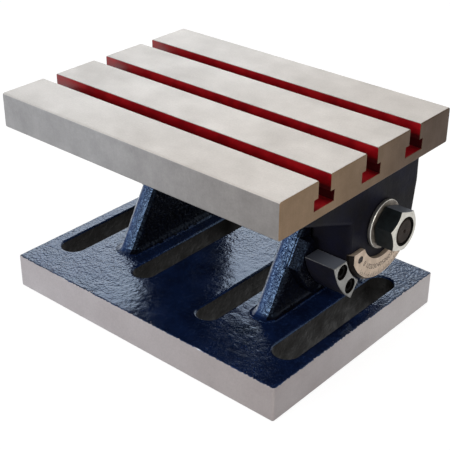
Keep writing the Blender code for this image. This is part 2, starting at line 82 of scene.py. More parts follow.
lamps = {
    "keyLamp": {"place": (-0.15, -1.75, 0.85), "size": (0.9, 0.7), "power": 12, "tone": (1.0, 0.99, 0.99)},
    "fillLamp": {"place": (-1.10, -1.42, 0.75), "size": (0.6, 0.5), "power": 3.6, "tone": (0.98, 0.99, 1.0)},
    "topLamp": {"place": (-0.10, 0.10, 1.60), "size": (1.2, 1.0), "power": 7.2, "tone": (1.0, 0.99, 0.97)},
    "endLamp": {"place": (1.50, -0.60, 0.70), "size": (0.7, 0.7), "power": 10, "tone": (1.0, 0.97, 0.93)},
    "rearLamp": {"place": (-1.25, 1.30, 1.00), "size": (1.1, 0.8), "power": 5.5, "tone": (1.0, 1.0, 1.0)},
}


def addObject(name, data):
    made = bpy.data.objects.new(name, data)
    bpy.context.scene.collection.objects.link(made)
    return made


def placeCamera():
    camera = addObject("camera", bpy.data.cameras.new("camera"))
    turn, rise, roll = (radians(cameraSetup[name]) for name in ("azimuth", "elevation", "roll"))
    back = Vector((sin(turn) * cos(rise), -cos(turn) * cos(rise), sin(rise)))
    across = Vector((cos(turn), sin(turn), 0.0))
    right = across * cos(roll) + back.cross(across) * sin(roll)
    turned = Matrix((right, back.cross(right), back)).transposed().to_4x4()
    camera.matrix_world = Matrix.Translation(cameraSetup["place"]) @ turned
    camera.data.lens = cameraSetup["lens"]
    camera.data.sensor_width = cameraSetup["sensor"]
    camera.data.clip_start = 0.01
    bpy.context.scene.camera = camera


def placeLamps():
    aim = Vector((0.0, 0.0, pivot.z))
    for name, lamp in lamps.items():
        light = bpy.data.lights.new(name, "AREA")
        light.shape = "RECTANGLE"
        light.size, light.size_y = lamp["size"]
        light.energy = lamp["power"]
        light.color = lamp["tone"]
        holder = addObject(name, light)
        holder.location = lamp["place"]
        holder.rotation_euler = (aim - holder.location).to_track_quat("-Z", "Y").to_euler()


# Shader nodes. A value is a number or another node's output.

work = {}  # the node tree in work, and its material, shader and position


def link(output, socket):
    work["tree"].links.new(output, socket)


def addNode(kind, inputs=None, **settings):
    made = work["tree"].nodes.new("ShaderNode" + kind)
    for name, value in settings.items():
        setattr(made, name, value)
    for name, value in (inputs or {}).items():
        if isinstance(value, bpy.types.NodeSocket):
            link(value, made.inputs[name])
        else:
            made.inputs[name].default_value = value
    return made


def socketsOf(inputs):
    # The keyword patchSize stands for the socket "Patch Size"
    return {re.sub("([A-Z])", r" \1", name).title(): value for name, value in inputs.items()}


def calculate(operation, *values, clamp=False):
    return addNode("Math", dict(enumerate(values)), operation=operation, use_clamp=clamp).outputs[0]


def times(first, second, clamp=False):
    return calculate("MULTIPLY", first, second, clamp=clamp)


def minus(first, second):
    return calculate("SUBTRACT", first, second)


def timesPlus(first, second, added, clamp=False):
    return calculate("MULTIPLY_ADD", first, second, added, clamp=clamp)


def absolute(value):
    return calculate("ABSOLUTE", value)


def vectors(operation, *values):
    return addNode("VectorMath", dict(enumerate(values)), operation=operation).outputs


def alongAxes(vector):
    return addNode("SeparateXYZ", {"Vector": vector}).outputs


def remap(value, low, high, newLow=0.0, newHigh=1.0):
    inputs = {"Value": value, "From Min": low, "From Max": high, "To Min": newLow, "To Max": newHigh}
    return addNode("MapRange", inputs, interpolation_type="SMOOTHSTEP").outputs["Result"]


def blendTones(share, first, second, mode="MIX"):
    # Inputs 6 and 7 and output 2 are a mix node's colour sockets
    inputs = {"Factor": share, 6: first, 7: second}
    return addNode("Mix", inputs, data_type="RGBA", blend_type=mode).outputs[2]


def blendValues(share, first, second):
    return addNode("Mix", {"Factor": share, 2: first, 3: second}).outputs[0]


def cloud(position, size, detail, **more):
    # Noise between 0 and 1 with a given size, in metres
    inputs = {"Vector": position, "Scale": calculate("DIVIDE", 1.0, size), "Detail": detail}
    return addNode("TexNoise", {**inputs, **socketsOf(more)}).outputs["Fac"]


def spread(value, contrast):
    return timesPlus(minus(value, 0.5), contrast, 0.5, clamp=True)


def seenAndUnseen():
    # Rays that see the backdrop, and rays that aren't the camera's own
    path = addNode("LightPath").outputs
    gloss = calculate("MAXIMUM", path["Is Glossy Ray"], path["Is Transmission Ray"])
    return calculate("MAXIMUM", path["Is Camera Ray"], gloss), minus(1.0, path["Is Camera Ray"])


def setWorld():
    world = bpy.data.worlds.new("studioWorld")
    world.use_nodes = True
    bpy.context.scene.world = world
    work["tree"] = world.node_tree
    work["tree"].nodes.clear()
    seen, unseen = seenAndUnseen()
    x, y, z = alongAxes(addNode("TexCoord").outputs["Generated"])
    fade = times(remap(z, *studio["skyFade"]), unseen)
    front = times(remap(y, *studio["frontFade"]), unseen)
    backdrop = blendValues(fade, blendValues(front, 1.0, studio["skyFront"]), studio["skyTop"])
    strength = blendValues(seen, studio["ambient"], backdrop)
    light = addNode("Background", {"Color": (1.0, 1.0, 1.0, 1.0), "Strength": strength})
    addNode("OutputWorld", {"Surface": light.outputs[0]})


def layFloor():
    half, depth = studio["floorSize"] / 2, -0.2 * mm
    shape = bmesh.new()
    shape.faces.new([shape.verts.new((x * half, y * half, depth)) for x, y in squareCorners])
    floor = toObject(shape, "floor")
    material = bpy.data.materials.new("floorPaper")
    material.use_nodes = True
    work["tree"] = material.node_tree
    work["tree"].nodes.clear()
    paper = addNode("BsdfDiffuse", {"Color": (*(studio["floorTone"],) * 3, 1.0)})
    glow = addNode("Emission", {"Strength": times(seenAndUnseen()[0], studio["floorGlow"])})
    both = addNode("AddShader", {0: paper.outputs[0], 1: glow.outputs[0]})
    addNode("OutputMaterial", {"Surface": both.outputs[0]})
    addMaterials(floor, material)


# Shapes

squareCorners = ((-1, -1), (1, -1), (1, 1), (-1, 1))


def toObject(shape, name):
    mesh = bpy.data.meshes.new(name)
    shape.to_mesh(mesh)
    shape.free()
    return addObject(name, mesh)


def outwardObject(shape, name):
    bmesh.ops.recalc_face_normals(shape, faces=shape.faces)
    return toObject(shape, name)


def addMaterials(piece, *materials):
    for material in materials:
        piece.data.materials.append(material)


def shareOf(value):
    return min(1.0, max(0.0, value))


def onCircle(radius, angle, centre=(0.0, 0.0)):
    return (centre[0] + radius * cos(radians(angle)), centre[1] + radius * sin(radians(angle)))


def arcPoints(radius, start, end, steps, centre=(0.0, 0.0)):
    return [onCircle(radius, start + (end - start) * step / steps, centre) for step in range(steps + 1)]


def circlePoints(radius, sides, centre=(0.0, 0.0), turn=0.0):
    return [onCircle(radius, turn + 360 * step / sides, centre) for step in range(sides)]


def insetOutline(outline, distance):
    # Moves each side of a closed counter-clockwise outline inwards
    moved = []
    for index, point in enumerate(outline):
        here = Vector(point)
        arriving = (here - Vector(outline[index - 1])).normalized()
        leaving = (Vector(outline[(index + 1) % len(outline)]) - here).normalized()
        normal = Vector((-arriving.y, arriving.x))
        middle = (normal + Vector((-leaving.y, leaving.x))).normalized()
        moved.append(tuple(here + middle * (distance / middle.dot(normal))))
    return moved


def skinRings(name, rings, closed=False):
    # Rings of (x, y, z) points, as many in each, capped at both ends or closed on themselves
    shape = bmesh.new()
    rows = [[shape.verts.new(point) for point in ring] for ring in rings]
    pairs = list(zip(rows, rows[1:]))
    if closed:
        pairs.append((rows[-1], rows[0]))
    else:
        shape.faces.new(rows[0])
        shape.faces.new(rows[-1])
    for lower, upper in pairs:
        for index, corner in enumerate(lower):
            after = (index + 1) % len(lower)
            shape.faces.new((corner, lower[after], upper[after], upper[index]))
    return outwardObject(shape, name)


def pushAlongX(name, outline, low, high, rounding=0.0):
    # Side-view outline of (y, z) points pushed along X, with both end edges rounded
    levels = [(0.0, 0.0)]
    if rounding:
        turns = [pi / 8 * step for step in range(5)]
        levels = [(rounding * (1 - cos(turn)), rounding * (1 - sin(turn))) for turn in turns]
    rings = [(low + depth, margin) for depth, margin in levels]
    rings += [(high - depth, margin) for depth, margin in reversed(levels)]
    return skinRings(name, [[(x, y, z) for y, z in insetOutline(outline, margin)] for x, margin in rings])


def turnAlongX(name, profile, centre, sides, closed=False, turn=0.0):
    # Profile of (x, radius) pairs turned about a line along X
    return skinRings(name, [[(x, y, z) for y, z in circlePoints(radius, sides, centre, turn)]
                            for x, radius in profile], closed)


def bakedMesh(piece):
    return bpy.data.meshes.new_from_object(piece.evaluated_get(bpy.context.evaluated_depsgraph_get()))


def cut(piece, other):
    # A cutter without a material of its own leaves faces in the piece's first one
    if not other.data.materials:
        addMaterials(other, piece.data.materials[0])
    modifier = piece.modifiers.new("cut", "BOOLEAN")
    modifier.operation = "DIFFERENCE"
    modifier.solver = "EXACT"
    modifier.material_mode = "TRANSFER"
    modifier.object = other
    result = bakedMesh(piece)
    piece.modifiers.clear()
    used = (piece.data, other.data)
    piece.data = result
    bpy.data.objects.remove(other)
    for mesh in used:
        bpy.data.meshes.remove(mesh)


def mirrored(piece, side):
    # Pieces are made for the right-hand end, and side -1 mirrors one
    if side < 0:
        shape = bmesh.new()
        shape.from_mesh(piece.data)
        for vertex in shape.verts:
            vertex.co.x = -vertex.co.x
        bmesh.ops.reverse_faces(shape, faces=shape.faces)
        shape.to_mesh(piece.data)
        shape.free()
    return piece


def dress(piece, body, node, crease, rounding=0.0):
    # Smooth shading, softened edges, and the piece's body and CAD node
    piece.data.shade_smooth()
    piece.data.set_sharp_from_angle(angle=radians(crease))
    if rounding:
        soften = piece.modifiers.new("softEdges", "BEVEL")
        soften.width = rounding
        soften.segments = 2
        soften.limit_method = "ANGLE"
        soften.angle_limit = radians(crease)
        soften.harden_normals = True
    piece.modifiers.new("evenNormals", "WEIGHTED_NORMAL").keep_sharp = True
    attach(piece, body)
    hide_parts(node)


def rightHandBox(node, side):
    # Corners of a node's box, mirrored to the right-hand end where side is -1
    low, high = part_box(node)
    if side > 0:
        return low, high
    return Vector((-high.x, low.y, low.z)), Vector((-low.x, high.y, high.z))


def copyOfNode(node):
    # Copy of a CAD node with its flat faces whole again
    shape = bmesh.new()
    shape.from_mesh(frame["nodes"][node].data)
    bmesh.ops.remove_doubles(shape, verts=shape.verts, dist=0.002 * mm)
    bmesh.ops.dissolve_limit(shape, angle_limit=radians(0.4), verts=shape.verts, edges=shape.edges)
    return shape


def cutIntoCells(shape, faces, axis, places):
    # Cuts faces at a row of places along one axis, halving the row each time
    if not places or not faces:
        return faces
    middle = len(places) // 2
    normal = Vector()
    normal[axis] = 1.0
    edges = {edge for face in faces for edge in face.edges}
    corners = {corner for face in faces for corner in face.verts}
    found = bmesh.ops.bisect_plane(shape, geom=[*corners, *edges, *faces], dist=0.001 * mm,
                                   plane_co=normal * places[middle], plane_no=normal)["geom"]
    below, above = [], []
    for face in found:
        if isinstance(face, bmesh.types.BMFace):
            (below if face.calc_center_median()[axis] < places[middle] else above).append(face)
    return (cutIntoCells(shape, below, axis, places[:middle])
            + cutIntoCells(shape, above, axis, places[middle + 1:]))


def gridFaces(shape, faces, step, low, high):
    for axis in range(3):
        count = int((high[axis] - low[axis]) / step)
        places = [low[axis] + step * (number + 0.5) for number in range(count)]
        faces = cutIntoCells(shape, faces, axis, places)
    return faces


def lumps(point, size, seed):
    # Rounded relief between 0 and 1 with a given size, in metres
    return 0.5 + 0.5 * noise.noise(point / size + Vector((seed, seed, seed)))


# Node groups that the materials share

def newGroup(name, inputs, outputs=("Mask",)):
    # Each group takes a position, and these inputs with their defaults
    group = bpy.data.node_groups.new(name, "ShaderNodeTree")
    for label, value in {"Position": (0.0, 0.0, 0.0), **inputs}.items():
        kind = "NodeSocketVector" if isinstance(value, tuple) else "NodeSocketFloat"
        group.interface.new_socket(name=label, in_out="INPUT", socket_type=kind).default_value = value
    for label in outputs:
        group.interface.new_socket(name=label, in_out="OUTPUT", socket_type="NodeSocketFloat")
    work["tree"] = group
    given = group.nodes.new("NodeGroupInput").outputs
    return given["Position"], given, group.nodes.new("NodeGroupOutput").inputs


def buildMottle():
    # Soft patches: stains, uneven paint, oxide
    position, given, result = newGroup("mottle", {"Size": 0.02, "Contrast": 2.0, "Detail": 4.0})
    patches = cloud(position, given["Size"], given["Detail"], roughness=0.6)
    link(spread(patches, given["Contrast"]), result["Mask"])


def buildCutMarks():
    # Fine lines left by a wheel or a cutter. Stretch is their number per metre along each axis.
    inputs = {"Stretch": (20, 900, 900), "Contrast": 2.0}
    position, given, result = newGroup("cutMarks", inputs, ("Mask", "Height"))
    stretched = vectors("MULTIPLY", position, given["Stretch"])[0]
    lines = cloud(stretched, 1.0, 3.0, roughness=0.65)
    link(spread(lines, given["Contrast"]), result["Mask"])
    link(lines, result["Height"])


def buildEdgeWear():
    # Edges within a width of the corner, broken up by noise
    position, given, result = newGroup("edgeWear", {"Width": 0.0006, "Breakup": 0.5, "Patch Size": 0.004})
    rounded = addNode("Bevel", {"Radius": given["Width"]}, samples=6).outputs["Normal"]
    surface = addNode("NewGeometry").outputs["Normal"]
    edge = remap(vectors("DOT_PRODUCT", rounded, surface)["Value"], 0.985, 0.86)
    patches = remap(cloud(position, given["Patch Size"], 3.0), 0.38, 0.62)
    kept = minus(1.0, times(patches, given["Breakup"]))
    link(times(edge, kept, clamp=True), result["Mask"])


def buildCastSkin():
    # Relief of a sand casting under paint: lumps and a few pits
    position, given, result = newGroup("castSkin", {"Lump Size": 0.003, "Pits": 0.3}, ("Height",))
    swell = cloud(position, given["Lump Size"], 1.0, roughness=0.45, distortion=0.2)
    inputs = {"Vector": position, "Scale": calculate("DIVIDE", 1.7, given["Lump Size"])}
    cells = addNode("TexVoronoi", inputs, feature="SMOOTH_F1").outputs["Distance"]
    pits = times(remap(cells, 0.30, 0.02), given["Pits"])
    link(minus(swell, pits), result["Height"])


def buildRaggedEdge():
    # 0 below a level and 1 above it, along a line that wanders
    inputs = {"Value": 0.0, "Level": 0.0, "Wander": 0.0005, "Wave Size": 0.003}
    position, given, result = newGroup("raggedEdge", inputs)
    wave = minus(cloud(position, given["Wave Size"], 3.0), 0.5)
    reached = calculate("ADD", given["Value"], times(wave, given["Wander"]))
    above = minus(reached, given["Level"])
    link(remap(above, -0.1 * mm, 0.1 * mm), result["Mask"])


def buildGrime():
    # Painted shade and grime: darker in corners and against neighbours, where ambient occlusion finds them,
    # broken up in patches
    position, given, result = newGroup("shadeAndGrime", {"Reach": 0.004, "Patch Size": 0.006})
    shade = addNode("AmbientOcclusion", {"Distance": given["Reach"]}, samples=6).outputs["AO"]
    patches = remap(cloud(position, given["Patch Size"], 4.0), 0.25, 0.65)
    link(times(remap(shade, 0.95, 0.45), patches), result["Mask"])


def buildGroups():
    for build in (buildMottle, buildCutMarks, buildEdgeWear, buildCastSkin, buildRaggedEdge, buildGrime):
        build()
    print("node groups built")


def addGroup(name, **inputs):
    inputs = {"Position": work["position"], **socketsOf(inputs)}
    return addNode("Group", inputs, node_tree=bpy.data.node_groups[name]).outputs


def maskOf(name, **inputs):
    return addGroup(name, **inputs)["Mask"]


def mottle(size, contrast, detail=4.0):
    return maskOf("mottle", size=size, contrast=contrast, detail=detail)


# Materials

def tone(red, green, blue):
    # Display colour, 0 to 1, as the linear colour that a shader takes
    return (*((value / 12.92 if value < 0.04045 else ((value + 0.055) / 1.055) ** 2.4)
              for value in (red, green, blue)), 1.0)


def newMaterial(name, gloss, ior=1.5, **constants):
    # Gloss is the specular level. All of these are set on the shader's own sockets.
    material = bpy.data.materials.new(name)
    material.use_nodes = True
    shader = material.node_tree.nodes["Principled BSDF"].inputs
    for label, value in {"IOR": ior, "Specular IOR Level": gloss, **socketsOf(constants)}.items():
        shader[label].default_value = value
    work.update(tree=material.node_tree, material=material, shader=shader)
    work["position"] = addNode("TexCoord").outputs["Object"]
    return work["position"]


def finishMaterial(colour, rough, normal, **more):
    inputs = {"Base Color": colour, "Roughness": rough, "Normal": normal, **socketsOf(more)}
    for label, value in inputs.items():
        link(value, work["shader"][label])
    return work["material"]


def relief(height, distance, **more):
    inputs = {"Height": height, "Distance": distance, "Strength": 1.0}
    return addNode("Bump", {**inputs, **socketsOf(more)}).outputs["Normal"]


def tint(colour, mask, new, share=1.0, mode="MIX"):
    # Lays a display colour over another where the mask says so
    return blendTones(times(mask, share), colour, tone(*new), mode)


def patchedTone(patches, look):
    return blendTones(patches, tone(*look["deep"]), tone(*look["bright"]))


def worldNormal():
    return alongAxes(addNode("NewGeometry").outputs["Normal"])


groundLooks = {
    "topGrind": {"bright": (0.875, 0.865, 0.855), "deep": (0.81, 0.80, 0.79), "edge": (0.92, 0.90, 0.88),
                 "stretch": (26, 900, 900), "patch": 0.030, "marks": 0.35, "metal": 0.25, "rough": 0.42,
                 "speck": 0.7, "shadeDrift": (("X", -0.10, 0.10, (0.985, 0.97, 0.955)),)},
    "frontMilled": {"bright": (0.70, 0.70, 0.71), "deep": (0.63, 0.63, 0.64), "edge": (0.86, 0.85, 0.83),
                    "stretch": (700, 700, 60), "patch": 0.016, "marks": 0.5, "metal": 0.3, "rough": 0.46,
                    "speck": 0.4, "shadeDrift": (("X", -0.05, 0.127, (0.86, 0.84, 0.82)),)},
    # The warm brown of endMilled is a painted reflection of warm surroundings
    "endMilled": {"bright": (0.565, 0.465, 0.36), "deep": (0.50, 0.41, 0.31), "edge": (0.62, 0.54, 0.45),
                  "stretch": (700, 700, 60), "patch": 0.020, "marks": 0.5, "metal": 0.3, "rough": 0.46,
                  "speck": 0.3, "shadeDrift": (("Y", -0.07, 0.09, (0.57, 0.53, 0.52)),)},
    "baseMilled": {"bright": (0.935, 0.92, 0.92), "deep": (0.88, 0.86, 0.86), "edge": (0.90, 0.89, 0.88),
                   "stretch": (90, 90, 700), "patch": 0.040, "marks": 0.35, "metal": 0.3, "rough": 0.5,
                   "speck": 0.2, "shadeDrift": (("Y", 0.09, -0.06, (0.865, 0.85, 0.85)),
                                           ("X", -0.09, 0.127, (0.89, 0.87, 0.85)))},
    "undersideGrind": {"bright": (0.66, 0.65, 0.63), "deep": (0.52, 0.51, 0.48), "edge": (0.80, 0.79, 0.77),
                       "stretch": (26, 900, 900), "patch": 0.030, "marks": 0.5, "metal": 0.5, "rough": 0.48,
                       "speck": 0.5},
    "blockEnd": {"bright": (0.70, 0.70, 0.69), "deep": (0.58, 0.58, 0.57), "edge": (0.88, 0.87, 0.85),
                 "stretch": (60, 900, 240), "patch": 0.008, "marks": 0.6, "metal": 0.45, "rough": 0.42,
                 "speck": 0.3},
}

groundLayers = {"streak": 0.35, "grain": 0.12, "grainTone": (0.05, 0.05, 0.045, 1.0),
                "dirtAndShade": (0.34, 0.32, 0.28), "edge": 0.75}


def groundTone(look):
    # Colour, roughness and height of a ground or milled face
    patches = mottle(look["patch"], 2.6, 6.0)
    marks = addGroup("cutMarks", stretch=look["stretch"], contrast=2.2)
    grain = mottle(0.0012, 2.4, 3.0)
    specks = mottle(0.0026, 6.0, 5.0)
    edge = maskOf("edgeWear", width=0.0007, breakup=0.35, patchSize=0.005)
    nearEdge = maskOf("edgeWear", width=0.0022, breakup=1.0, patchSize=0.012)
    colour = patchedTone(patches, look)
    colour = tint(colour, times(marks["Mask"], look["marks"]), look["deep"], groundLayers["streak"])
    colour = blendTones(times(grain, groundLayers["grain"]), colour, groundLayers["grainTone"], "MULTIPLY")
    colour = tint(colour, times(specks, nearEdge), groundLayers["dirtAndShade"], look["speck"])
    # Painted shade: the colour darkens towards one end along an axis
    for axis, start, end, far in look.get("shadeDrift", ()):
        along = remap(alongAxes(work["position"])[axis], start, end)
        colour = tint(colour, along, far, mode="MULTIPLY")
    colour = tint(colour, edge, look["edge"], groundLayers["edge"])
    rough = timesPlus(marks["Mask"], 0.08, blendValues(patches, look["rough"] + 0.10, look["rough"]))
    return colour, rough, timesPlus(grain, 0.4, marks["Height"])


def groundIron(name):
    look = groundLooks[name]
    newMaterial(name, 0.35, metallic=look["metal"])
    colour, rough, height = groundTone(look)
    return finishMaterial(colour, rough, relief(height, 0.03 * mm))


navy = {
    # shine tints the paint's reflections blue, as a painted reflection of bluish surroundings
    "shine": (0.42, 0.65, 1.0, 1.0),
    "thin": (0.14, 0.22, 0.38),
    # front: the lighter blue of the painted light on the cheeks' front faces
    "front": (0.12, 0.26, 0.52),
    "frontReach": (0.0135, 0.004),  # from a cheek's left edge the front's painted light fades over this
    "swell": 0.0060,
    "lump": 0.0022,
    "lumpShare": 1.6,
    "bump": 0.20,  # in millimetres
    "wet": 1.45,
    "rough": 0.13,
    "cheekShare": 1.7,  # how much stronger the bumps are on the cheeks
    "softEdge": 0.0010,
    "calm": 0.75,  # how much flatter the paint is between and before the cheeks
    "calmX": (-0.065, -0.015),
    "calmY": (0.05, 0.0),
    "wild": 1.7,  # and how much rougher in the right rear corner
    "wildX": (0.075, 0.105),
    "wildY": (0.05, 0.08),
    "highlightEdges": (-0.0763, 0.0603),  # left edges of the cheeks, along which a painted highlight runs
    "highlightWidth": 0.0042,
    "highlight": (0.93, 0.96, 1.0),
    "lineDrop": 0.00055,  # the paint stops this far below the plate's top
    "bareX": 0.124,  # past these the plate's edge may be bare
    "bareY": 0.0922,
}

# front is each coat's share of the painted light on the cheek fronts
navyCoats = {
    "navyCasting": {"deep": (0.045, 0.07, 0.15), "bright": (0.075, 0.14, 0.29), "gloss": 0.5,
                    "crest": 0.30, "front": 0.42},
    # navyShade: a darker, duller copy of the paint, as painted shade on faces that look along +X and on the
    # pad
    "navyShade": {"deep": (0.03, 0.03, 0.045), "bright": (0.04, 0.045, 0.085), "gloss": 0.06,
                  "crest": 0.06, "front": 0.03},
}


def navyCasting(name):
    # Thick glossy paint over rough iron, which stops in a ragged line at the ground sides
    coat = navyCoats[name]
    x, y, z = alongAxes(newMaterial(name, coat["gloss"], ior=1.8, specularTint=navy["shine"]))
    plateTop = castingCut["plateTop"]
    painted = maskOf("raggedEdge", value=z, level=plateTop - navy["lineDrop"], wander=0.0016, waveSize=0.0022)
    inside = [calculate("LESS_THAN", absolute(place), navy[limit])
              for place, limit in ((x, "bareX"), (y, "bareY"))]
    painted = calculate("MAXIMUM", painted, times(*inside))
    skin = addGroup("castSkin", lumpSize=navy["lump"], pits=0.25)[0]
    swell = addGroup("castSkin", lumpSize=navy["swell"], pits=0.2)[0]
    patches = mottle(0.022, 2.2, 5.0)
    paint = patchedTone(patches, coat)
    paint = tint(paint, remap(skin, 0.50, 0.72), navy["thin"], coat["crest"])
    raised = remap(z, plateTop + 1 * mm, plateTop + 5 * mm)
    front = remap(worldNormal()["Y"], -0.3, -0.6)
    broken = remap(skin, 0.40, 0.56, 0.5, 1.0)
    # Painted light on the cheek fronts: a lighter blue fading from each cheek's left edge, and a pale painted
    # highlight along that edge, broken up by the lumps
    for edge in navy["highlightEdges"]:
        away = absolute(minus(x, edge))
        lit = times(front, remap(away, *navy["frontReach"], 0.0, coat["front"]))
        paint = tint(paint, lit, navy["front"])
        near = remap(away, navy["highlightWidth"], 0.3 * navy["highlightWidth"])
        paint = tint(paint, times(near, front), navy["highlight"], broken)
    calm = times(remap(x, *navy["calmX"]), remap(y, *navy["calmY"]))
    wild = times(remap(x, *navy["wildX"]), remap(y, *navy["wildY"]))
    force = timesPlus(wild, navy["wild"] - 1.0, timesPlus(calm, -navy["calm"], 1.0))
    bareLook = groundLooks["baseMilled"]
    bare, bareRough, bareHeight = groundTone(bareLook)
    wet = times(timesPlus(skin, navy["lumpShare"], swell), navy["wet"])
    height = blendValues(painted, times(bareHeight, 0.05), wet)
    height = times(height, blendValues(raised, force, navy["cheekShare"]))
    softness = blendValues(raised, navy["softEdge"], 0.0)
    rounded = addNode("Bevel", {"Radius": softness}, samples=6).outputs["Normal"]
    gloss = timesPlus(patches, 0.12, navy["rough"])
    return finishMaterial(blendTones(painted, bare, paint), blendValues(painted, bareRough, gloss),
                          relief(height, navy["bump"] * mm, normal=rounded),
                          metallic=blendValues(painted, bareLook["metal"], 0.0))


# Slot walls near black: dark raw iron, darkened further as painted shade
wallIronAndShade = {"deep": (0.03, 0.025, 0.02), "bright": (0.06, 0.05, 0.045)}


def slotWall():
    newMaterial("slotWall", 0.3)
    skin = addGroup("castSkin", lumpSize=0.0035, pits=0.5)[0]
    patches = mottle(0.012, 2.5)
    return finishMaterial(patchedTone(patches, wallIronAndShade),
                          remap(patches, 0.0, 1.0, 0.5, 0.75), relief(skin, 0.35 * mm))


slatePaint = {
    "deep": (0.07, 0.07, 0.10),
    "bright": (0.105, 0.10, 0.11),
    "dustAndShade": (0.30, 0.29, 0.28),
    "worn": (0.66, 0.66, 0.66),
    "blue": (0.06, 0.075, 0.17),
    # tone of the painted shade and grime in corners
    "shadeAndGrime": (0.10, 0.095, 0.09),
    "lit": (0.42, 0.44, 0.48),  # painted light on faces of the block that look up
}


def slateCasting(name, gloss, lump, bump, worn=0.0, bareFrom=None):
    # Smooth blue-grey paint. Past bareFrom along X the iron is bare.
    position = newMaterial(name, gloss, ior=1.45)
    skin = addGroup("castSkin", lumpSize=lump, pits=0.3)[0]
    patches = mottle(0.016, 2.4, 5.0)
    blue = mottle(0.026, 4.0, 3.0)
    grain = mottle(0.0008, 3.0, 2.0)
    # Painted shade and grime in corners and against neighbouring parts
    dustAndShade = maskOf("shadeAndGrime", reach=0.006, patchSize=0.008)
    colour = patchedTone(patches, slatePaint)
    for mask, layer, share in ((blue, "blue", 0.5), (grain, "dustAndShade", 0.06), (dustAndShade, "shadeAndGrime", 0.45)):
        colour = tint(colour, mask, slatePaint[layer], share)
    rough, more = remap(patches, 0.0, 1.0, 0.40, 0.52), {}
    if worn:
        edge = maskOf("edgeWear", width=0.0010, breakup=0.35, patchSize=0.004)
        colour = tint(colour, edge, slatePaint["worn"], worn)
    if bareFrom is not None:
        x = alongAxes(position)["X"]
        # Painted light: faces that look up are lighter, the more so towards the block's outer end
        upward = remap(worldNormal()["Z"], 0.5, 0.9)
        outward = remap(x, blockLow.x, blockHigh.x, 0.25, 1.0)
        colour = tint(colour, upward, slatePaint["lit"], outward)
        isBare = maskOf("raggedEdge", value=x, level=bareFrom, wander=0.0006, waveSize=0.002)
        bare, bareRough = groundTone(groundLooks["blockEnd"])[:2]
        colour = blendTones(isBare, colour, bare)
        rough = blendValues(isBare, rough, bareRough)
        more["metallic"] = times(isBare, groundLooks["blockEnd"]["metal"])
    return finishMaterial(colour, rough, relief(skin, bump * mm), **more)


redPaint = {
    "deep": (0.46, 0.02, 0.06),
    "bright": (0.68, 0.02, 0.07),
    # dark is the tone of painted shade in the slots' corners and on their deep walls
    "dark": (0.12, 0.02, 0.03),
    "shadeFrom": 0.0075,  # depths over which the upright walls darken, as painted shade deep in the slots
    "shadeFull": 0.0100,
}


def redSlots():
    position = newMaterial("redSlots", 0.45, coatWeight=0.2, coatRoughness=0.2)
    patches = mottle(0.010, 2.2, 5.0)
    brushed = addGroup("cutMarks", stretch=(40, 700, 700), contrast=2.4)
    # Painted shade: darker in corners, with grime, and on upright walls deep in the slots
    dirtAndShade = maskOf("shadeAndGrime", reach=0.010, patchSize=0.012)
    upright = absolute(alongAxes(addNode("TexCoord").outputs["Normal"])["Y"])
    low = remap(alongAxes(position)["Z"], tableHigh.z - redPaint["shadeFrom"],
                tableHigh.z - redPaint["shadeFull"])
    low = times(low, remap(upright, 0.4, 0.8))
    colour = patchedTone(patches, redPaint)
    for mask, layer, share in ((brushed["Mask"], "deep", 0.25), (dirtAndShade, "dark", 0.6), (low, "dark", 0.85)):
        colour = tint(colour, mask, redPaint[layer], share)
    return finishMaterial(colour, remap(patches, 0.0, 1.0, 0.32, 0.48), relief(brushed["Height"], 0.10 * mm))


# dirtAndShade is the tone of painted shade and dirt in corners
steelWear = {"dirtAndShade": (0.12, 0.10, 0.08), "edge": (0.90, 0.89, 0.87), "ringStep": 0.00035}

# Gloss is the specular level, worn the share of bare metal at the edges, and upper a painted light on faces
# that look up
steelLooks = {
    "brightSteel": {"bright": (0.82, 0.81, 0.79), "deep": (0.66, 0.65, 0.62), "metal": 0.85, "rough": 0.30,
                    "worn": 0.3, "rings": True},
    "washerFace": {"bright": (0.60, 0.57, 0.53), "deep": (0.42, 0.39, 0.36), "metal": 0.4, "rough": 0.42,
                   "gloss": 0.3, "worn": 0.3, "rings": True},
    "nutFace": {"bright": (0.84, 0.83, 0.80), "deep": (0.70, 0.69, 0.66), "metal": 0.75, "rough": 0.34,
                "worn": 0.5, "rings": True},
    "bluedFlat": {"bright": (0.135, 0.16, 0.17), "deep": (0.08, 0.09, 0.10), "metal": 0.1, "rough": 0.42,
                  "gloss": 0.2, "worn": 0.35, "upper": (0.42, 0.44, 0.48)},
    "boltSteel": {"bright": (0.165, 0.115, 0.085), "deep": (0.095, 0.07, 0.055), "metal": 0.0, "rough": 0.55,
                  "gloss": 0.15, "worn": 0.2, "rings": True},
    # blackOxideAndShade is the black of the socket screws, and the painted shade in holes and the nuts' bores
    "blackOxideAndShade": {"bright": (0.045, 0.045, 0.045), "deep": (0.02, 0.02, 0.02), "metal": 0.0, "rough": 0.6,
                   "gloss": 0.05, "worn": 0.05},
    "smallScrew": {"bright": (0.20, 0.15, 0.12), "deep": (0.11, 0.08, 0.07), "metal": 0.2, "rough": 0.45,
                   "gloss": 0.2, "worn": 0.4},
    "scaleMetal": {"bright": (0.86, 0.78, 0.70), "deep": (0.76, 0.68, 0.60), "metal": 0.35, "rough": 0.42,
                   "worn": 0.3},
    # scaleRimShadow and scaleBevelShade are darker copies of the scale's metal, as painted shadow and shade
    # on its outer rim and bevel
    "scaleRimShadow": {"bright": (0.10, 0.08, 0.065), "deep": (0.045, 0.035, 0.03), "metal": 0.0, "rough": 0.5,
                 "gloss": 0.1, "worn": 0.1},
    "scaleBevelShade": {"bright": (0.50, 0.43, 0.35), "deep": (0.38, 0.32, 0.26), "metal": 0.2, "rough": 0.5,
                   "gloss": 0.3, "worn": 0.1},
}


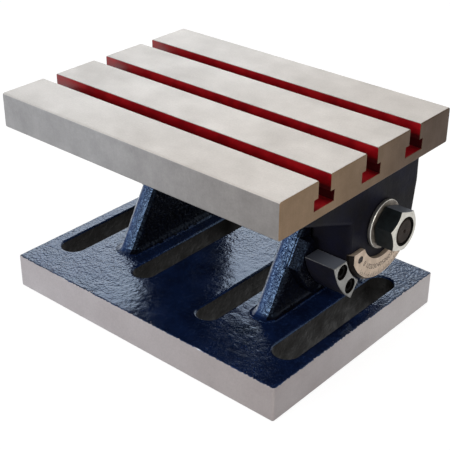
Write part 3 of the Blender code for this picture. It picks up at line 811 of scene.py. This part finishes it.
def steel(name):
    # Steel with wear on its edges, and turning rings about the pivot on some pieces
    if name in bpy.data.materials:
        return bpy.data.materials[name]
    look = steelLooks[name]
    position = newMaterial(name, look.get("gloss", 0.5), metallic=look["metal"])
    patches = mottle(0.006, 2.6, 5.0)
    grain = mottle(0.0006, 2.2, 2.0)
    edge = maskOf("edgeWear", width=0.0004, breakup=0.5, patchSize=0.003)
    # Painted shade and dirt in corners and against neighbouring parts
    dirtAndShade = maskOf("shadeAndGrime", reach=0.003, patchSize=0.004)
    colour = patchedTone(patches, look)
    # Painted light: faces that look up are lighter
    if "upper" in look:
        colour = tint(colour, remap(worldNormal()["Z"], 0.80, 0.95), look["upper"])
    colour = tint(colour, dirtAndShade, steelWear["dirtAndShade"], 0.6)
    colour = tint(colour, edge, steelWear["edge"], look["worn"])
    height = grain
    if "rings" in look:
        offset = vectors("SUBTRACT", position, tuple(pivot))[0]
        flat = vectors("MULTIPLY", offset, (0.0, 1.0, 1.0))[0]
        turns = times(vectors("LENGTH", flat)["Value"], 2 * pi / steelWear["ringStep"])
        height = timesPlus(calculate("SINE", turns), 0.5, grain)
    return finishMaterial(colour, blendValues(patches, look["rough"] + 0.12, look["rough"]),
                          relief(height, 0.02 * mm))


inkTones = {"deep": (0.14, 0.10, 0.08), "bright": (0.30, 0.23, 0.19)}


def engravingInk():
    newMaterial("engravingInk", 0.2)
    patches = mottle(0.002, 3.0)
    return finishMaterial(patchedTone(patches, inkTones),
                          remap(patches, 0.0, 1.0, 0.6, 0.8), relief(patches, 0.03 * mm))


# Base casting

castingCut = {
    "plateTop": 0.0272,
    "cell": 0.0014,  # grid that carries the relief
    "lumpSize": 0.0062,
    "lumpDepth": 0.00026,
    "rippleSize": 0.0031,
    "rippleDepth": 0.00012,
    "fadeHeight": 0.0009,  # the relief fades out over this below the plate's top
    "padStart": 0.0755,  # past this along X the pad on the right cheek begins
}


def makeBaseCasting():
    shape = copyOfNode("base_casting")
    top, rim = castingCut["plateTop"], castingCut["fadeHeight"]
    painted = [face for face in shape.faces if face.calc_center_median().z > top - rim * 1.4]
    painted = gridFaces(shape, painted, castingCut["cell"], baseLow, baseHigh)
    shape.normal_update()
    for corner in {corner for face in painted for corner in face.verts}:
        depth = castingCut["lumpDepth"] * lumps(corner.co, castingCut["lumpSize"], 3.7)
        depth += castingCut["rippleDepth"] * lumps(corner.co, castingCut["rippleSize"], 9.1)
        corner.co -= corner.normal * (depth * shareOf((corner.co.z - top + rim * 1.2) / rim))
    looks = ("navyCasting", "slotWall", "undersideGrind", "navyShade")
    for face in shape.faces:
        middle, normal = face.calc_center_median(), face.normal
        height = middle.z - top
        inside = abs(middle.x) < baseHigh.x - 3 * mm and abs(middle.y) < baseHigh.y - 3 * mm
        onPad = height > 1.2 * mm and middle.x > castingCut["padStart"]
        look = "navyCasting"
        if middle.z < 0.5 * mm and abs(normal.z) > 0.9:
            look = "undersideGrind"
        elif height < -1.6 * mm and inside:
            look = "slotWall"
        # Faces that look along +X and the pad take navyShade, a darker copy of the paint, as painted shade
        elif height > 0.4 * mm and normal.x > 0.3 or onPad:
            look = "navyShade"
        face.material_index = looks.index(look)
    piece = toObject(shape, "base_casting_painted")
    addMaterials(piece, navyCasting("navyCasting"), slotWall(), groundIron("undersideGrind"),
                 navyCasting("navyShade"))
    dress(piece, "base", "base_casting", crease=58)
    print("base casting:", len(piece.data.polygons), "faces")


# Tilting table

tableCut = {
    "cell": 0.0022,  # grid that carries the relief under the plate
    "lumpSize": 0.010,
    "lumpDepth": 0.00022,
    "fadeWidth": 0.0016,  # the relief fades out over this at the plate's sides
    "slotPitch": 0.0508,
    "neckHalf": 0.0065,
    "neckDepth": 0.0118,
    "headHalf": 0.0105,
    "headFloor": 0.020,  # depth of the T-slots below the table's top
    "brokenEdge": 0.00035,
    "plate": 0.0266,
}


def inSlot(point, margin):
    depth = tableHigh.z - point.z
    offsets = [abs(point.y - tableCut["slotPitch"] * number) for number in (-1, 0, 1)]
    half = tableCut["neckHalf"] if depth < tableCut["neckDepth"] else tableCut["headHalf"]
    return min(offsets) < half + margin and depth < tableCut["headFloor"] + margin


def makeTiltingTable():
    shape = copyOfNode("tilting_table")
    top, underside = tableHigh.z, tableHigh.z - tableCut["plate"]
    hair, rim = 0.02 * mm, tableCut["fadeWidth"]
    slotFaces = {face for face in shape.faces
                 if inSlot(face.calc_center_median(), hair) and abs(face.normal.x) < 0.5
                 and top - face.calc_center_median().z > hair}
    edges = [edge for edge in shape.edges
             if len(edge.link_faces) == 2 and len(slotFaces.intersection(edge.link_faces)) == 1]
    bmesh.ops.bevel(shape, geom=edges, offset=tableCut["brokenEdge"], segments=2, profile=0.5, affect="EDGES")
    shape.normal_update()
    cast = [face for face in shape.faces if face.calc_center_median().z <= underside + hair]
    cast = gridFaces(shape, cast, tableCut["cell"], tableLow, tableHigh)
    shape.normal_update()
    for corner in {corner for face in cast for corner in face.verts}:
        fade = shareOf((tableHigh.x - rim - abs(corner.co.x)) / rim)
        if corner.co.z > underside - rim:
            fade *= shareOf((tableHigh.y - rim - abs(corner.co.y)) / rim)
        relieved = lumps(corner.co, tableCut["lumpSize"], 5.3)
        corner.co -= corner.normal * (tableCut["lumpDepth"] * fade * relieved)
    looks = ("topGrind", "frontMilled", "endMilled", "redSlots", "slateTable")
    for face in shape.faces:
        middle, normal = face.calc_center_median(), face.normal
        flat = abs(normal.x) < 0.5 and max(abs(normal.y), abs(normal.z)) > 0.95
        look = "frontMilled"
        if inSlot(middle, hair * 3) and flat:
            look = "redSlots"
        elif middle.z < underside + 0.3 * mm:
            look = "slateTable"
        elif tableHigh.x - abs(middle.x) < 0.6 * mm and abs(normal.x) > 0.3:
            look = "endMilled"
        elif normal.z > 0.6:
            look = "topGrind"
        elif abs(normal.x) > abs(normal.y):
            look = "endMilled"
        face.material_index = looks.index(look)
    piece = toObject(shape, "tilting_table_ground")
    addMaterials(piece, *(groundIron(look) for look in looks[:3]), redSlots(),
                 slateCasting("slateTable", gloss=0.04, lump=0.004, bump=0.16))
    dress(piece, "table", "tilting_table", crease=40)
    print("tilting table:", len(piece.data.polygons), "faces")


# Index block and its screws

blockCut = {
    "outer": 0.0578,  # radii of the block about the tilt axis
    "inner": 0.0438,
    "endAngle": 233.7,
    "rounding": 0.0009,
    "screwRadius": 0.0508,
    "screwSpread": 10.7,
    "boreRadius": 0.0056,
    "boreMouth": 0.00035,
    "headRadius": 0.005,
    "headHeight": 0.006,
    "sink": 0.0012,
    "shankRadius": 0.003,
    "shankEnd": 0.0730,
    "socketFlats": 0.005,
    "socketDepth": 0.003,
    "play": 0.0003,
}


def blockStart(radius):
    # Angle at which a circle about the tilt axis meets the block's flat top
    return 180 + degrees(asin((pivot.z - blockHigh.z) / radius))


def makeIndexBlock():
    outer, inner, end = blockCut["outer"], blockCut["inner"], blockCut["endAngle"]
    outline = arcPoints(outer, blockStart(outer), end, 30, tiltAxis)
    outline += arcPoints(inner, end, blockStart(inner), 30, tiltAxis)
    block = pushAlongX("index_block_painted", outline, blockLow.x, blockHigh.x, blockCut["rounding"])
    addMaterials(block, slateCasting("slateBlock", gloss=0.16, lump=0.0035, bump=0.10, worn=0.8,
                                     bareFrom=blockHigh.x - 0.75 * mm))
    radius, mouth, play = blockCut["boreRadius"], blockCut["boreMouth"], blockCut["play"]
    shank = blockCut["shankRadius"] + play
    floor = blockHigh.x - blockCut["sink"] - blockCut["headHeight"] - play
    profile = ((floor, radius), (blockHigh.x - mouth, radius), (blockHigh.x + mouth, radius + 2 * mouth))
    middle = (blockStart(outer) + end) / 2
    places = [onCircle(blockCut["screwRadius"], middle + side * blockCut["screwSpread"], tiltAxis)
              for side in (-1, 1)]
    for place in places:
        # The counterbore's walls take the black as painted shade inside the hole
        bore = turnAlongX("counterbore", profile, place, 64)
        addMaterials(bore, steel("blackOxideAndShade"))
        cut(block, bore)
        cut(block, turnAlongX("clearance", ((blockLow.x - 0.01, shank), (blockHigh.x, shank)), place, 48))
    dress(block, "base", "index_block", crease=40)
    for name, place in zip(("upper", "lower"), places):
        makeSocketScrew(name, place)
    print("index block done")


def makeSocketScrew(name, place):
    top = blockHigh.x - blockCut["sink"]
    under = top - blockCut["headHeight"]
    chamfer, mouth = 0.5 * mm, 0.3 * mm
    end, shank, head = blockCut["shankEnd"], blockCut["shankRadius"], blockCut["headRadius"]
    profile = ((end, shank - chamfer), (end + chamfer, shank), (under, shank), (under, head),
               (top - chamfer, head), (top, head - chamfer))
    screw = turnAlongX(f"index_screw_{name}_black", profile, place, 64)
    addMaterials(screw, steel("blackOxideAndShade"))
    corner = blockCut["socketFlats"] / 2 / cos(pi / 6)
    levels = ((top - blockCut["socketDepth"], corner), (top - mouth, corner), (top + mouth, corner * 1.25))
    cut(screw, turnAlongX("socket", levels, place, 6, turn=17))
    dress(screw, "base", "index_screw_" + name, crease=30, rounding=0.12 * mm)


# Pivot bolts, washers and clamp nuts

pivotCut = {
    "flats": 0.0286,
    "faceShare": 0.955,
    "chamferAngle": 27,
    "nutTurn": 43,
    "boltRadius": 0.0095,
    "boreRadius": 0.0100,
    "play": 0.0003,
    "nutMouth": 0.0012,
    "endChamfer": 0.0012,
    "markRadius": 0.0016,
    "washerEdge": 0.0005,
    "sides": 120,
}

hexAngles = [pivotCut["nutTurn"] + 360 * step / pivotCut["sides"] for step in range(pivotCut["sides"])]
hexFace = pivotCut["flats"] / 2 * pivotCut["faceShare"]


def roundRing(place, radius):
    return [(place, *onCircle(radius, angle, tiltAxis)) for angle in hexAngles]


def hexRing(place, inward):
    # Ring around the flats. The corners' chamfer moves them inwards along X, or not at 0.
    points = []
    for angle in hexAngles:
        turned = (angle - pivotCut["nutTurn"]) % 60
        radius = pivotCut["flats"] / 2 / cos(radians(turned - 30))
        fall = (radius - hexFace) * tan(radians(pivotCut["chamferAngle"]))
        points.append((place + inward * fall, *onCircle(radius, angle, tiltAxis)))
    return points


def makeClampNut(side, name):
    low, high = rightHandBox("clamp_nut_" + name, side)
    bore, mouth = pivotCut["boltRadius"] + pivotCut["play"], pivotCut["nutMouth"]
    rings = [roundRing(low.x + mouth, bore), roundRing(low.x, bore + mouth), roundRing(low.x, hexFace),
             hexRing(low.x, 1.0), hexRing(high.x, -1.0),
             roundRing(high.x, hexFace), roundRing(high.x, bore + mouth), roundRing(high.x - mouth, bore)]
    nut = mirrored(skinRings(f"clamp_nut_{name}_blued", rings, closed=True), side)
    addMaterials(nut, steel("bluedFlat"), steel("nutFace"), steel("blackOxideAndShade"))
    for face in nut.data.polygons:
        reach = Vector((face.center.y - pivot.y, face.center.z - pivot.z)).length
        # Painted shadow: the bore and its mouth are black
        if reach < bore + mouth:
            face.material_index = 2
        elif abs(face.normal.x) > 0.4:
            face.material_index = 1
    dress(nut, name + "_nut", "clamp_nut_" + name, crease=20, rounding=0.15 * mm)


def makeWasher(side, name, kind):
    low, high = rightHandBox(kind + "_washer_" + name, side)
    radius, edge, bore = (high.y - low.y) / 2, pivotCut["washerEdge"], pivotCut["boreRadius"]
    profile = ((low.x, bore), (high.x, bore), (high.x, radius - edge), (high.x - edge, radius),
               (low.x + edge, radius), (low.x, radius - edge))
    piece = turnAlongX(f"{kind}_washer_{name}_bright", profile, tiltAxis, 144, closed=True)
    mirrored(piece, side)
    addMaterials(piece, steel("brightSteel"), steel("washerFace"))
    for plane in piece.data.polygons:
        if abs(plane.normal.x) > 0.95:
            plane.material_index = 1
    dress(piece, "base", kind + "_washer_" + name, crease=30, rounding=0.15 * mm)


def makePivotBolt(side, name):
    low, high = rightHandBox("pivot_bolt_" + name, side)
    head = rightHandBox("head_washer_" + name, side)[0].x - pivotCut["play"]
    chamfer, radius, mark = pivotCut["endChamfer"], pivotCut["boltRadius"], pivotCut["markRadius"]
    rings = [roundRing(low.x, hexFace), hexRing(low.x, 1.0), hexRing(head, 0.0), roundRing(head, radius),
             roundRing(high.x - chamfer, radius), roundRing(high.x, radius - chamfer),
             roundRing(high.x, mark), roundRing(high.x - mark, 0.15 * mark)]
    bolt = mirrored(skinRings(f"pivot_bolt_{name}_dark", rings), side)
    addMaterials(bolt, steel("boltSteel"))
    dress(bolt, "base", "pivot_bolt_" + name, crease=20, rounding=0.12 * mm)


def makePivots():
    for side, name in ((1, "right"), (-1, "left")):
        makePivotBolt(side, name)
        makeWasher(side, name, "head")
        makeWasher(side, name, "clamp")
        makeClampNut(side, name)
    print("pivots done")


# Angle scale and its screws

scaleCut = {
    "inner": 0.0259,
    "outer": 0.0425,
    "reach": 0.0382,
    "bevelWidth": 0.002,
    "bevelDepth": 0.003,
    "zeroAngle": 225,
    "tickEnd": 0.0401,
    "tickDepth": 0.00018,
    "ticks": {1: (0.0021, 0.00016), 5: (0.0030, 0.00026), 10: (0.0037, 0.00032)},
    "numeralRadius": 0.0322,
    "numeralHeight": 0.0038,
    "screwRadius": 0.0331,
    "screwSpread": 58.5,
    "screwHead": 0.0026,
    "screwShank": 0.0014,
    "slotWidth": 0.0007,
    "slotDepth": 0.0005,
}


def scaleRing(bevel, place):
    outer, reach = scaleCut["outer"] - bevel, scaleCut["reach"] - bevel
    inner, drop = scaleCut["inner"], pivot.z - scaleHigh.z
    sideTurn, endTurn = degrees(acos(reach / outer)), degrees(asin(drop / inner))
    outline = arcPoints(outer, 180 + sideTurn, 360 - sideTurn, 72) + [(reach, -drop)]
    outline += arcPoints(inner, 360 - endTurn, 180 + endTurn, 72) + [(-reach, -drop)]
    return [(place, pivot.y + y, pivot.z + z) for y, z in outline]


def spoke(angle):
    # Outward and sideways directions at an angle of the scale
    turn = radians(scaleCut["zeroAngle"] + angle)
    return Vector((0, cos(turn), sin(turn))), Vector((0, -sin(turn), cos(turn)))


def makeTicks():
    # One mesh of thin wedges, one for each degree
    shape = bmesh.new()
    depth, end = scaleCut["tickDepth"], scaleCut["tickEnd"]
    for degree in range(91):
        length, width = scaleCut["ticks"][10 if degree % 10 == 0 else 5 if degree % 5 == 0 else 1]
        outward, across = spoke(degree)
        corners = []
        for place in (scaleHigh.x - depth, scaleHigh.x + depth):
            for radius in (end - length, end):
                for half in (-width / 2, width / 2):
                    at = Vector((place, *tiltAxis)) + outward * radius + across * half
                    corners.append(shape.verts.new(at))
        for loop in ((0, 1, 3, 2), (4, 6, 7, 5), (0, 4, 5, 1), (2, 3, 7, 6), (0, 2, 6, 4), (1, 5, 7, 3)):
            shape.faces.new([corners[index] for index in loop])
    return outwardObject(shape, "ticks")


def makeNumeral(value):
    curve = bpy.data.curves.new("numeral", "FONT")
    curve.body = str(value)
    curve.size = scaleCut["numeralHeight"] / 0.7
    curve.align_x = curve.align_y = "CENTER"
    curve.extrude = scaleCut["tickDepth"]
    curve.resolution_u = 3
    holder = addObject("numeral", curve)
    outward, across = spoke(value)
    at = Vector((scaleHigh.x, *tiltAxis)) + outward * scaleCut["numeralRadius"]
    spin = Matrix((across, -outward, Vector((1, 0, 0)))).transposed().to_4x4()
    mesh = bakedMesh(holder)
    mesh.transform(Matrix.Translation(at) @ spin)
    bpy.data.objects.remove(holder)
    bpy.data.curves.remove(curve)
    shape = bmesh.new()
    shape.from_mesh(mesh)
    bpy.data.meshes.remove(mesh)
    bmesh.ops.remove_doubles(shape, verts=shape.verts, dist=0.004 * mm)
    return outwardObject(shape, "numeral")


def makeAngleScale():
    ink, face, play = engravingInk(), scaleHigh.x, 0.3 * mm
    levels = ((scaleLow.x, 0.0), (face - scaleCut["bevelDepth"], 0.0), (face, scaleCut["bevelWidth"]))
    rings = [scaleRing(bevel, place) for place, bevel in levels]
    scale = skinRings("angle_scale_engraved", rings)
    addMaterials(scale, steel("scaleMetal"))
    head, hole = scaleCut["screwHead"], scaleCut["screwShank"] + play
    neck = face - 0.1 * mm - (head - scaleCut["screwShank"])
    profile = ((scaleLow.x - play, hole), (neck, hole), (face + play, hole + face - neck + play))
    places = [onCircle(scaleCut["screwRadius"], 270 + side * scaleCut["screwSpread"], tiltAxis)
              for side in (-1, 1)]
    for place in places:
        cut(scale, turnAlongX("countersink", profile, place, 48))
    for engraved in (makeTicks(), *map(makeNumeral, range(0, 91, 10))):
        addMaterials(engraved, ink)
        cut(scale, engraved)
    # Painted shade on the outer rim and bevel: black on the outer side and where the bevel faces the front,
    # tan elsewhere on the bevel
    addMaterials(scale, steel("scaleBevelShade"), steel("scaleRimShadow"))
    rim = len(scale.data.materials) - 1
    for plane in scale.data.polygons:
        outward = plane.normal.y * (plane.center.y - pivot.y) + plane.normal.z * (plane.center.z - pivot.z)
        if plane.material_index == 0 and plane.normal.x < 0.97 and outward > 0:
            plane.material_index = rim if plane.normal.x < 0.3 or plane.normal.y < -0.45 else rim - 1
    dress(scale, "table", "angle_scale", crease=30)
    for name, place, turn in zip(("front", "rear"), places, (25, -40)):
        makeScaleScrew(name, place, turn)
    print("angle scale:", len(scale.data.polygons), "faces")


def makeScaleScrew(name, place, turn):
    low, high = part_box("scale_screw_" + name)
    top, head, shank = high.x, scaleCut["screwHead"], scaleCut["screwShank"]
    crown = 0.08 * mm
    profile = ((low.x, shank), (top - (head - shank), shank), (top - crown, head), (top, head - 4 * crown))
    screw = turnAlongX(f"scale_screw_{name}_slotted", profile, place, 48)
    addMaterials(screw, steel("smallScrew"))
    half, reach = scaleCut["slotWidth"] / 2, head * 1.3
    along, across = Vector(onCircle(1.0, turn)), Vector(onCircle(1.0, turn + 90))
    outline = [tuple(Vector(place) + along * reach * first + across * half * second)
               for first, second in squareCorners]
    cut(screw, pushAlongX("slot", outline, top - scaleCut["slotDepth"], top + 1 * mm))
    dress(screw, "table", "scale_screw_" + name, crease=30)


placeCamera()
placeLamps()
setWorld()
layFloor()
buildGroups()
makeBaseCasting()
makeTiltingTable()
makeIndexBlock()
makePivots()
makeAngleScale()

bpy.context.scene.view_settings.view_transform = "Standard"
bpy.context.view_layer.update()
